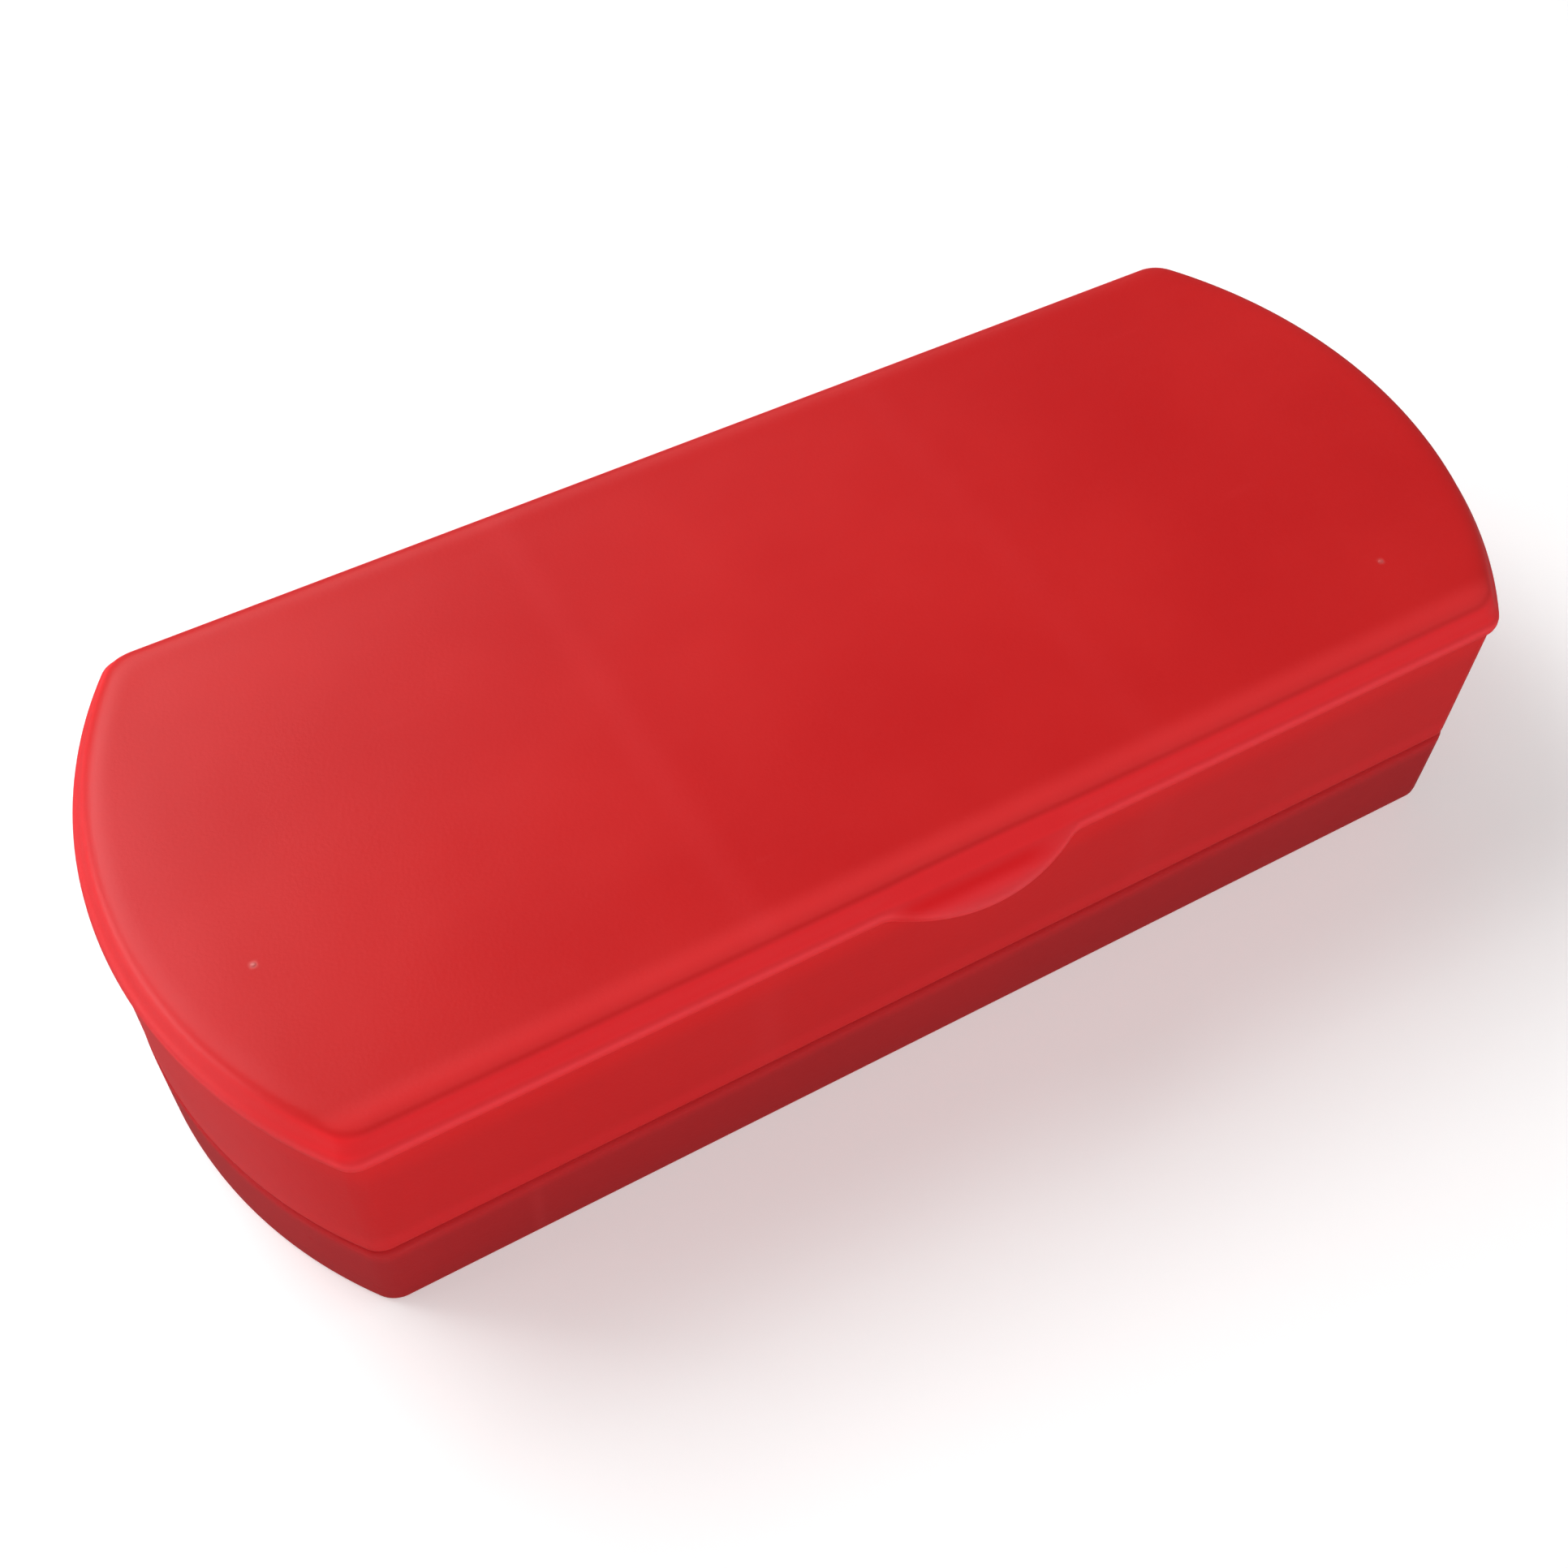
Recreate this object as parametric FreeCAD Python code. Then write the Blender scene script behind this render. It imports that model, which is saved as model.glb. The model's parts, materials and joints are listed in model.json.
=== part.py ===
"""Hinged storage case holding three wrapped blocks of detailing clay. Millimetres, +Z up."""
import FreeCAD, Part
import math
import os

# Case, seen from above: straight long sides and bowed ends.
WIDTH = 49.05  # across the rim bead, front to back
SIDE_LENGTH = 100.0  # straight side, corner to corner
END_BOW = 8.76  # how far each end bows out past the corners
RIM_CORNER = 2.2  # corner radius of the rim bead
PARTING_Z = 9.0  # height of the line between base and lid
PARTING_GAP = 0.2
TOP_Z = 26.1

# Base.
BASE_INSET = 0.25  # wall's outside, measured in from the rim bead
BASE_CORNER = 2.4
BASE_FOOT_ROUND = 0.45
BASE_EDGE_ROUND = 0.7
FLOOR = 1.6
LIP_OUTER_INSET = 1.80
LIP_THICK = 0.85
LIP_TOP_Z = 13.0
LIP_CORNER = 1.6
LIP_ROUND = 0.3
CAVITY_CORNER = 1.2
CAVITY_ROUND = 0.8

# Lid.
SKIRT_INSET = 0.33
SKIRT_THICK = 1.17
SKIRT_CORNER = 2.0
SKIRT_EDGE_ROUND = 0.3
BEAD_LOW_Z = 22.90
BEAD_HIGH_Z = 24.30
BEAD_ROUND = 0.45
SHOULDER_LOW_INSET = 0.42
SHOULDER_LOW_CORNER = 2.4
SHOULDER_TOP_INSET = 1.15
PANEL_CORNER = 3.4
PANEL_ROUND = 0.75
LID_THICK = 1.4
HOLLOW_CORNER = 1.4
CEILING_CORNER = 2.4
CEILING_DROP = 1.3  # height of the slope inside, under the shoulder
CEILING_STEP = 1.0  # how far that slope runs in

# Thumb tab.
TAB_REACH = 2.1  # past the rim bead
TAB_HALF_BASE = 9.0
TAB_ROOT_RADIUS = 3.0
TAB_THICK = 1.25
TAB_SLOPE = 25.0  # degrees down, from the bead to the nose
TAB_ROUND = 0.40
TAB_ROOT_DEPTH = 1.0  # how far the tab runs back into the lid's wall

# Hinges, on the back.
HINGE_X = (("left", -30.0), ("right", 30.0))
BARREL_R = 1.40
HINGE_Y = WIDTH / 2 + TAB_REACH - BARREL_R  # the knuckles stand out as far as the tab does
HINGE_Z = PARTING_Z
PIN_R = 0.65
PIN_RUNNING = 0.05  # radial clearance in the lid's knuckle
PIN_PRESS = 0.01  # radial bite in the base's knuckles
PIN_END_CHAMFER = 0.2
PIN_RECESS = 0.1  # how far each end of a pin lies inside its knuckle
LID_KNUCKLE = 6.2
BASE_KNUCKLE = 3.6
KNUCKLE_GAP = 0.25
NOTCH_CLEARANCE = 0.30
WEB_REACH = 4.4  # how far a knuckle's web runs along its wall
WEB_ROOT_Y = 23.6  # inside the wall that carries the knuckle
WEB_FOOT_INSET = 0.6  # where a web's outer face meets that wall, in from the rim bead

OVERCUT = 1.0  # how far a cutting shape runs past what it cuts

# Clay and its film.
CLAY_NAMES = ("left", "middle", "right")
CLAY_PITCH = 34.4
CLAY_SIZE = (30.6, 39.6, 17.5)
CLAY_ROUND = 2.4
FILM_THICK = 0.2
FILM_LENGTH = 38.8

SMALL = 0.01  # what counts as the same place
HALF = WIDTH / 2
BOW_R = (HALF ** 2 + END_BOW ** 2) / (2 * END_BOW)
BOW_X = SIDE_LENGTH / 2 + END_BOW - BOW_R


def vec(x, y, z=0.0):
    return FreeCAD.Vector(x, y, z)


def outline(inset, z, corner):
    """The case's plan, moved in by inset: lines, bowed ends and a rounded corner, as one wire."""
    half = HALF - inset
    bow = BOW_R - inset
    cx = BOW_X + math.sqrt((bow - corner) ** 2 - (half - corner) ** 2)
    cy = half - corner
    turn = math.atan2(cy, cx - BOW_X)
    mid = (math.pi / 2 + turn) / 2

    def corner_arc(sx, sy):
        on_bow = vec(sx * (BOW_X + bow * math.cos(turn)), sy * bow * math.sin(turn), z)
        between = vec(sx * (cx + corner * math.cos(mid)), sy * (cy + corner * math.sin(mid)), z)
        on_side = vec(sx * cx, sy * half, z)
        return on_bow, between, on_side

    right_back = corner_arc(1, 1)
    left_back = corner_arc(-1, 1)
    left_front = corner_arc(-1, -1)
    right_front = corner_arc(1, -1)
    edges = [
        Part.Arc(*right_back).toShape(),
        Part.LineSegment(right_back[2], left_back[2]).toShape(),
        Part.Arc(*reversed(left_back)).toShape(),
        Part.Arc(left_back[0], vec(-BOW_X - bow, 0, z), left_front[0]).toShape(),
        Part.Arc(*left_front).toShape(),
        Part.LineSegment(left_front[2], right_front[2]).toShape(),
        Part.Arc(*reversed(right_front)).toShape(),
        Part.Arc(right_front[0], vec(BOW_X + bow, 0, z), right_back[0]).toShape(),
    ]
    return Part.Wire(edges)


def prism(inset, low, high, corner):
    """A straight-walled block with the case's plan."""
    return Part.Face(outline(inset, low, corner)).extrude(vec(0, 0, high - low))


def slope(low, high):
    """A block whose walls run straight from one (inset, z, corner) outline to another."""
    return Part.makeLoft([outline(*low), outline(*high)], True, True)


def edges_at(shape, z):
    """Every edge of the shape that lies flat at height z."""
    return [e for e in shape.Edges if abs(e.BoundBox.ZMin - z) < SMALL and abs(e.BoundBox.ZMax - z) < SMALL]


def rounded(shape, radius, *heights):
    """The shape with its outline edges at the given heights rounded."""
    edges = [edge for z in heights for edge in edges_at(shape, z)]
    return shape.makeFillet(radius, edges)


def cylinder_x(radius, x0, x1):
    """A cylinder on the hinge's axis."""
    return Part.makeCylinder(radius, x1 - x0, vec(x0, HINGE_Y, HINGE_Z), vec(1, 0, 0))


def web(x0, x1, sign):
    """The flank that ties a knuckle to its wall, down (sign -1) or up (sign 1) from the barrel."""
    foot_y = HALF - WEB_FOOT_INSET - HINGE_Y
    foot_z = WEB_REACH
    reach = math.hypot(foot_y, foot_z)
    angle = math.atan2(foot_z, foot_y) - math.acos(BARREL_R / reach)
    corners = [
        (WEB_ROOT_Y - HINGE_Y, 0.0),
        (WEB_ROOT_Y - HINGE_Y, foot_z),
        (foot_y, foot_z),
        (BARREL_R * math.cos(angle), BARREL_R * math.sin(angle)),
        (0.0, 0.0),
    ]
    points = [vec(x0, HINGE_Y + y, HINGE_Z + sign * z) for y, z in corners]
    face = Part.Face(Part.makePolygon(points + points[:1]))
    return face.extrude(vec(x1 - x0, 0, 0))


def knuckle_spans(x):
    """The lid's knuckle and the base's two knuckles of the hinge centred at x."""
    lid_half = LID_KNUCKLE / 2
    inner = lid_half + KNUCKLE_GAP
    outer = inner + BASE_KNUCKLE
    return [(x - lid_half, x + lid_half)], [(x - outer, x - inner), (x + inner, x + outer)]


def with_knuckles(shell, own, other, sign, bore):
    """The shell cut clear of the other one's knuckles, with its own ones added and bored."""
    clear = BARREL_R + NOTCH_CLEARANCE
    for x0, x1 in other:
        shell = shell.cut(cylinder_x(clear, x0 - KNUCKLE_GAP, x1 + KNUCKLE_GAP))
    for x0, x1 in own:
        shell = shell.fuse([cylinder_x(BARREL_R, x0, x1), web(x0, x1, sign)])
    for x0, x1 in own:
        shell = shell.cut(cylinder_x(bore, x0 - KNUCKLE_GAP, x1 + KNUCKLE_GAP))
    return shell.removeSplitter()


def all_spans():
    """The lid's and the base's knuckles of every hinge."""
    lid, base = [], []
    for _, x in HINGE_X:
        lid_spans, base_spans = knuckle_spans(x)
        lid += lid_spans
        base += base_spans
    return lid, base


def make_base():
    top = PARTING_Z - PARTING_GAP / 2
    body = prism(BASE_INSET, 0, top, BASE_CORNER)
    body = rounded(body, BASE_FOOT_ROUND, 0)
    body = rounded(body, BASE_EDGE_ROUND, top)
    lip = rounded(prism(LIP_OUTER_INSET, FLOOR, LIP_TOP_Z, LIP_CORNER), LIP_ROUND, LIP_TOP_Z)
    cavity = prism(LIP_OUTER_INSET + LIP_THICK, FLOOR, LIP_TOP_Z + OVERCUT, CAVITY_CORNER)
    shell = body.fuse(lip).cut(rounded(cavity, CAVITY_ROUND, FLOOR))
    lid_spans, base_spans = all_spans()
    return with_knuckles(shell, base_spans, lid_spans, -1, PIN_R - PIN_PRESS)


def tab_outline():
    """The thumb tab from above: a nose arc that runs out through a small root arc on each side."""
    angle = 2 * math.atan(TAB_REACH / TAB_HALF_BASE)
    y0 = -HALF

    def root_arc(side):
        points = []
        for turn in (0, angle / 2, angle):
            x = TAB_HALF_BASE - TAB_ROOT_RADIUS * math.sin(turn)
            y = y0 - TAB_ROOT_RADIUS * (1 - math.cos(turn))
            points.append(vec(side * x, y, 0))
        return points

    left, right = root_arc(-1), root_arc(1)
    nose = vec(0, y0 - TAB_REACH, 0)
    inner_right = right[0] + vec(0, TAB_ROOT_DEPTH, 0)
    inner_left = left[0] + vec(0, TAB_ROOT_DEPTH, 0)
    edges = [
        Part.Arc(*left).toShape(),
        Part.Arc(left[2], nose, right[2]).toShape(),
        Part.Arc(*reversed(right)).toShape(),
        Part.LineSegment(right[0], inner_right).toShape(),
        Part.LineSegment(inner_right, inner_left).toShape(),
        Part.LineSegment(inner_left, left[0]).toShape(),
    ]
    return Part.Face(Part.Wire(edges))


def make_tab():
    """The thumb tab: a plate of that outline, sloping down from the bead, with its rims rounded."""
    column = tab_outline().extrude(vec(0, 0, TOP_Z))
    corner = vec(-HALF, -HALF - TAB_REACH - OVERCUT, BEAD_HIGH_Z - TAB_THICK)
    slab = Part.makeBox(WIDTH, TAB_REACH + TAB_ROOT_DEPTH + 2 * OVERCUT, TAB_THICK, corner)
    slab.rotate(vec(0, -HALF, BEAD_HIGH_Z), vec(1, 0, 0), TAB_SLOPE)
    plate = column.common(slab)
    rims = []
    for edge in plate.Edges:
        first, last = edge.Vertexes[0].Point, edge.Vertexes[-1].Point
        in_front = max(first.y, last.y) < -HALF + SMALL
        if in_front and abs(first.x - last.x) > SMALL:
            rims.append(edge)
    return plate.makeFillet(TAB_ROUND, rims)


def make_lid():
    low = PARTING_Z + PARTING_GAP / 2
    skirt = rounded(prism(SKIRT_INSET, low, BEAD_HIGH_Z, SKIRT_CORNER), SKIRT_EDGE_ROUND, low)
    bead = rounded(prism(0, BEAD_LOW_Z, BEAD_HIGH_Z, RIM_CORNER), BEAD_ROUND, BEAD_LOW_Z, BEAD_HIGH_Z)
    shoulder_foot = (SHOULDER_LOW_INSET, BEAD_HIGH_Z - BEAD_ROUND, SHOULDER_LOW_CORNER)
    shoulder = slope(shoulder_foot, (SHOULDER_TOP_INSET, TOP_Z, PANEL_CORNER))
    shoulder = rounded(shoulder, PANEL_ROUND, TOP_Z)
    inner = SKIRT_INSET + SKIRT_THICK
    ceiling = TOP_Z - LID_THICK
    spring = ceiling - CEILING_DROP
    hollow = prism(inner, low - OVERCUT, spring, HOLLOW_CORNER)
    vault = slope((inner, spring, HOLLOW_CORNER), (inner + CEILING_STEP, ceiling, CEILING_CORNER))
    shell = skirt.fuse([bead, shoulder, make_tab()]).cut(hollow).cut(vault)
    lid_spans, base_spans = all_spans()
    return with_knuckles(shell, lid_spans, base_spans, 1, PIN_R + PIN_RUNNING)


def make_pin(x):
    half = LID_KNUCKLE / 2 + KNUCKLE_GAP + BASE_KNUCKLE - PIN_RECESS
    pin = cylinder_x(PIN_R, x - half, x + half)
    ends = [edge for edge in pin.Edges if edge.BoundBox.XLength < SMALL]
    return pin.makeChamfer(PIN_END_CHAMFER, ends)


def make_clay(x):
    length, depth, height = CLAY_SIZE
    block = Part.makeBox(length, depth, height, vec(x - length / 2, -depth / 2, FLOOR + FILM_THICK))
    return block.makeFillet(CLAY_ROUND, block.Edges)


def make_film(x):
    """A sleeve round the block, open at the front and the back."""
    length, _, height = CLAY_SIZE

    def tube(grow, y_grow):
        box = Part.makeBox(
            length + 2 * grow,
            FILM_LENGTH + 2 * y_grow,
            height + 2 * grow,
            vec(x - length / 2 - grow, -FILM_LENGTH / 2 - y_grow, FLOOR + FILM_THICK - grow),
        )
        along_y = [edge for edge in box.Edges if edge.BoundBox.YLength > FILM_LENGTH / 2]
        return box.makeFillet(CLAY_ROUND + grow, along_y)

    return tube(FILM_THICK, 0).cut(tube(0, OVERCUT))


def main():
    os.makedirs("parts", exist_ok=True)
    shapes = {"base_shell": make_base(), "lid_shell": make_lid()}
    for side, x in HINGE_X:
        shapes["hinge_pin_" + side] = make_pin(x)
    for index, side in enumerate(CLAY_NAMES):
        x = (index - 1) * CLAY_PITCH
        shapes["clay_bar_" + side] = make_clay(x)
        shapes["film_wrap_" + side] = make_film(x)
    for name, shape in shapes.items():
        solids = shape.Solids
        if len(solids) != 1:
            raise ValueError("%s has %d solids" % (name, len(solids)))
        solid = solids[0]
        if not solid.isValid():
            raise ValueError("%s is not a valid solid" % name)
        solid.exportStep("parts/%s.step" % name)
        box = solid.BoundBox
        print(name, "volume %.0f mm3" % solid.Volume, "x %.2f %.2f" % (box.XMin, box.XMax),
              "y %.2f %.2f" % (box.YMin, box.YMax), "z %.2f %.2f" % (box.ZMin, box.ZMax))


if __name__ == "__main__":
    main()
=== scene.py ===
"""Looks for a hinged plastic case of detailing clay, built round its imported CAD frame. Metres, +Z up."""
from __future__ import annotations

import json
import logging
import math
from dataclasses import dataclass, field
from enum import Enum
from typing import Any, Iterable, Sequence

import bmesh
import bpy
import numpy as np
from mathutils import Matrix, Vector, noise


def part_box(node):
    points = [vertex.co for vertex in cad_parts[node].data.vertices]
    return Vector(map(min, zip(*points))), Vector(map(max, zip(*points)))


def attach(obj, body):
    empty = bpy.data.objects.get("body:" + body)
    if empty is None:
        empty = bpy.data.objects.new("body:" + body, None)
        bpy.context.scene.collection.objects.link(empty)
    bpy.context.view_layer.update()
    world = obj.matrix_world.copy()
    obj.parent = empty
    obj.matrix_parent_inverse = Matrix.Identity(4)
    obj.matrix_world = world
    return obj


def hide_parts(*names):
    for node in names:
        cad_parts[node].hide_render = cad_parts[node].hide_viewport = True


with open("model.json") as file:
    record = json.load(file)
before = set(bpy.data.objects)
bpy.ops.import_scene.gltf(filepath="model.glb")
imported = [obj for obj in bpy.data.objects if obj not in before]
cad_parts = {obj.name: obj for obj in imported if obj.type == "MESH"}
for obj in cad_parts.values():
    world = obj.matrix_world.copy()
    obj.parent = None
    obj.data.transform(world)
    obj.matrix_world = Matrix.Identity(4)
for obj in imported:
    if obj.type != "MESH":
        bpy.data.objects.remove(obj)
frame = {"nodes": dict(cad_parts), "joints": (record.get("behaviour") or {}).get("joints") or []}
log = logging.getLogger("clay_case")

MM = 0.001
BASE_BODY = "base"
LID_BODY = "lid"
TAB_SLOPE = math.tan(math.radians(25.0))  # how much the thumb tab falls for its distance out
PIPS = ((-50.0, -7.9), (44.0, -15.7))  # x and y of the tiny moulding pips on the lid, in millimetres


def srgb(red: int, green: int, blue: int) -> tuple[float, float, float, float]:
    """Turns a colour of screen values into the linear one that shaders take.

    Args:
        red, green, blue: From 0 to 255.

    Returns:
        The linear colour, with an alpha of 1.
    """

    def linear(value: int) -> float:
        """One channel, without its screen curve."""
        c = value / 255
        return c / 12.92 if c <= 0.04045 else ((c + 0.055) / 1.055) ** 2.4

    return linear(red), linear(green), linear(blue), 1.0


# --- Node trees ---


class Wire:
    """A number or vector socket that can be used in Python expressions."""

    def __init__(self, canvas: "Canvas", socket: bpy.types.NodeSocket) -> None:
        """Wraps an output socket of a node on that canvas."""
        self.canvas = canvas
        self.socket = socket

    def _math(self, operation: str, *terms: Any) -> "Wire":
        """A Math node over the given terms."""
        return self.canvas.add("ShaderNodeMath", {"operation": operation}, dict(enumerate(terms)))

    def __add__(self, other: Any) -> "Wire":
        """self + other"""
        return self._math("ADD", self, other)

    def __radd__(self, other: Any) -> "Wire":
        """other + self"""
        return self._math("ADD", other, self)

    def __sub__(self, other: Any) -> "Wire":
        """self - other"""
        return self._math("SUBTRACT", self, other)

    def __rsub__(self, other: Any) -> "Wire":
        """other - self"""
        return self._math("SUBTRACT", other, self)

    def __mul__(self, other: Any) -> "Wire":
        """self * other"""
        return self._math("MULTIPLY", self, other)

    def __truediv__(self, other: Any) -> "Wire":
        """self / other"""
        return self._math("DIVIDE", self, other)

    def __abs__(self) -> "Wire":
        """abs(self)"""
        return self._math("ABSOLUTE", self)

    def at_least(self, other: Any) -> "Wire":
        """The greater of the two."""
        return self._math("MAXIMUM", self, other)

    def step(self, low: float, high: float) -> "Wire":
        """0 at low and 1 at high, with an even S between them; low may be the greater."""
        settings = {"interpolation_type": "SMOOTHSTEP"}
        return self.canvas.add("ShaderNodeMapRange", settings, {0: self, 1: low, 2: high, 3: 0.0, 4: 1.0})

    def near(self, centre: float, half_width: float) -> "Wire":
        """1 at centre, falling in an S to 0 at half_width from it."""
        return abs(self - centre).step(half_width, 0.0)


class Canvas:
    """Adds and links nodes in any kind of node tree."""

    def __init__(self, tree: bpy.types.NodeTree) -> None:
        """Starts on an empty tree."""
        self.tree = tree
        tree.nodes.clear()

    def add(self, kind: str, settings: dict[str, Any] | None = None, inputs: dict[Any, Any] | None = None,
            output: int | str = 0) -> Wire:
        """Adds one node, sets it up and links it.

        Args:
            kind: The node's type name.
            settings: Attributes to set first.
            inputs: Socket name or number to a value or a Wire.
            output: Which output socket to hand back.

        Returns:
            The chosen output.
        """
        node = self.tree.nodes.new(kind)
        for name, value in (settings or {}).items():
            setattr(node, name, value)
        for key, value in (inputs or {}).items():
            socket = node.inputs[key]
            if isinstance(value, Wire):
                self.tree.links.new(value.socket, socket)
            else:
                socket.default_value = value
        return Wire(self, node.outputs[output]) if node.outputs else Wire(self, None)


class Surface(Canvas):
    """A material's tree, with the few patterns that every finish here shares."""

    def __init__(self, name: str) -> None:
        """Makes an empty material of that name."""
        self.material = bpy.data.materials.new(name)
        self.material.use_nodes = True
        super().__init__(self.material.node_tree)
        self.place = self.add("ShaderNodeTexCoord", output="Object")
        self.x = self._axis("X")
        self.y = self._axis("Y")
        self.z = self._axis("Z")

    def _axis(self, name: str) -> Wire:
        """One coordinate of the point being shaded, in millimetres."""
        return self.add("ShaderNodeSeparateXYZ", None, {0: self.place}, output=name) / MM

    def noise(self, feature_mm: float, detail: float = 2.0, stretch: tuple = (1, 1, 1)) -> Wire:
        """Smooth noise from 0 to 1.

        Args:
            feature_mm: About how wide a patch is.
            detail: How many finer layers are added.
            stretch: Scale of the pattern along each axis; less than 1 draws it out.

        Returns:
            The noise.
        """
        vector = self.add("ShaderNodeVectorMath", {"operation": "MULTIPLY"}, {0: self.place, 1: stretch})
        inputs = {"Vector": vector, "Scale": 1 / (feature_mm * MM), "Detail": detail, "Roughness": 0.5}
        return self.add("ShaderNodeTexNoise", None, inputs)

    def blend(self, factor: Any, first: Any, second: Any) -> Wire:
        """first where factor is 0 and second where it is 1, as colours."""
        settings = {"data_type": "RGBA", "clamp_factor": True}
        return self.add("ShaderNodeMix", settings, {0: factor, 6: first, 7: second}, output=2)

    def bump(self, height: Wire, depth_mm: float, under: Wire | None = None) -> Wire:
        """Pushes the normal about.

        Args:
            height: The relief, from 0 to 1.
            depth_mm: How deep the relief is.
            under: A normal to start from, in place of the mesh's own.

        Returns:
            The normal.
        """
        inputs = {"Height": height, "Distance": depth_mm * MM, "Strength": 1.0}
        if under is not None:
            inputs["Normal"] = under
        return self.add("ShaderNodeBump", None, inputs)

    def finish(self, **sockets: Any) -> bpy.types.Material:
        """Closes the tree with a Principled shader.

        Args:
            **sockets: Principled inputs, with _ for each space.

        Returns:
            The finished material.
        """
        inputs = {name.replace("_", " "): value for name, value in sockets.items()}
        shader = self.add("ShaderNodeBsdfPrincipled", None, inputs)
        self.add("ShaderNodeOutputMaterial", None, {"Surface": shader})
        return self.material


# --- Finishes ---


@dataclass(frozen=True)
class MouldedPlastic:
    """Satin polypropylene, a little see-through, with a fine spark-eroded grain. Lengths are in millimetres.

    Attributes:
        name: The material's name.
        deep: Colour of the thick parts.
        lit: Colour where the wall is brighter.
        side: Colour of the upright walls.
        front: Colour of the painted sheen along the panel's front edge.
        edge: A paler red: the colour of the painted sheen on the left end and of the painted highlight on
            the tab's edge, and of the faint streaks and the scuffs.
        painted_light_bands: (height, even half, faded half, strength, colour) of each brighter band of
            painted light.
        show_through: (x, half width, strength) of each faint upright streak.
        specks: (x, y, strength) of each pale spot, over a pip.
        hollow_shade: Colour of the painted shade in the thumb tab's dimple.
        pale: Colour of a speck.
        left_end_sheen: How much of the painted sheen the left end takes, in the edge colour.
        roughness: Mean roughness.
        rim_y: How far forward the rim bead reaches.
        wall_z: Heights where the panel's colours end and where the walls' are full.
        front_sheen_y, front_sheen_z: Where the painted sheen along the panel's front edge starts and where
            it is full.
        left_end_sheen_x: The x where the painted sheen on the left end starts, and where it is full.
        bow: |x| where each band of painted light starts to fade into the bowed ends, and where it is
            faintest.
        bow_fade: How much of each band of painted light is lost there.
        hollow_shade_y: The middle and half width of the painted shade in the tab's dimple.
        hollow_shade_x: The painted shade's middle, and how far from it the shade ends and is full.
        hollow_shade_z: Heights where the painted shade starts and where it is full.
        tab_edge_highlight: The y where the painted highlight on the tab's edge starts, and where it is full.
        speck_size: A speck's half width.
        inside_z: Heights between which the specks give way to the plain inside.
    """

    name: str
    deep: tuple
    lit: tuple
    side: tuple
    front: tuple
    edge: tuple
    painted_light_bands: tuple[tuple[float, float, float, float, tuple], ...]
    show_through: tuple[tuple[float, float, float], ...]
    specks: tuple[tuple[float, float, float], ...] = ()
    # Painted shade in the thumb tab's dimple.
    hollow_shade: tuple = srgb(232, 16, 22)
    pale: tuple = srgb(250, 150, 146)
    left_end_sheen: float = 0.34
    roughness: float = 0.36
    rim_y: float = 24.5
    wall_z: tuple[float, float] = (23.6, 22.5)
    front_sheen_y: tuple[float, float] = (-20.4, -22.3)
    front_sheen_z: tuple[float, float] = (25.62, 25.84)
    left_end_sheen_x: tuple[float, float] = (-50.0, -57.0)
    bow: tuple[float, float] = (48.0, 54.0)
    bow_fade: float = 0.55
    hollow_shade_y: tuple[float, float] = (-25.0, 0.9)
    hollow_shade_x: tuple[float, float, float] = (-1.5, 8.0, 4.5)
    hollow_shade_z: tuple[float, float] = (24.9, 24.3)
    tab_edge_highlight: tuple[float, float] = (-25.6, -26.5)
    speck_size: float = 0.45
    inside_z: tuple[float, float] = (25.0, 25.5)

    def _walls(self, s: Surface, rise: Wire) -> Wire:
        """The plastic's colour: clouded and redder on the walls, with a painted sheen along the panel's
        front edge.
        """
        cloud = s.noise(26.0, detail=3.0)
        panel = s.blend(cloud.step(0.25, 0.78), self.deep, self.lit)
        wall = s.blend(cloud.step(0.45, 0.75) * 0.25, self.side, self.lit)
        colour = s.blend(rise.step(*self.wall_z), panel, wall)
        # Painted sheen: the panel's front edge is blended half-way to a paler red.
        front_sheen_mask = s.y.step(*self.front_sheen_y) * rise.step(*self.front_sheen_z)
        return s.blend(front_sheen_mask * 0.5, colour, self.front)

    def _streaks_and_painted_light(self, s: Surface, rise: Wire, colour: Wire) -> Wire:
        """The colour with faint streaks added, and painted light: painted highlights round the rim and
        walls, a painted sheen on the left end, painted shade in the tab's dimple and a painted highlight on
        the tab's edge.

        Args:
            s: The material's tree.
            rise: Height, with the tab's fall taken out.
            colour: The plastic's own colour.

        Returns:
            The new colour.
        """
        for x, half, strength in self.show_through:
            streak = s.x.near(x, half) * (s.noise(9.0) * 0.8 + 0.4) * strength
            colour = s.blend(streak, colour, self.edge)
        # Painted highlights: each band at its height is blended towards its brighter colour, fading into the
        # bowed ends.
        fade = 1.0 - abs(s.x).step(*self.bow) * self.bow_fade
        for z, even, faded, strength, glow in self.painted_light_bands:
            colour = s.blend(abs(rise - z).step(faded, even) * fade * strength, colour, glow)
        # Painted sheen on the left end.
        colour = s.blend(s.x.step(*self.left_end_sheen_x) * self.left_end_sheen, colour, self.edge)
        # Painted shade: the tab's dimple is blended to a deeper red.
        middle, off, full = self.hollow_shade_x
        hollow_shade_mask = s.y.near(*self.hollow_shade_y) * abs(s.x - middle).step(off, full) * rise.step(*self.hollow_shade_z)
        colour = s.blend(hollow_shade_mask * 0.7, colour, self.hollow_shade)
        # Painted highlight along the tab's outer edge.
        return s.blend(s.y.step(*self.tab_edge_highlight) * 0.5, colour, self.edge)

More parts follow.
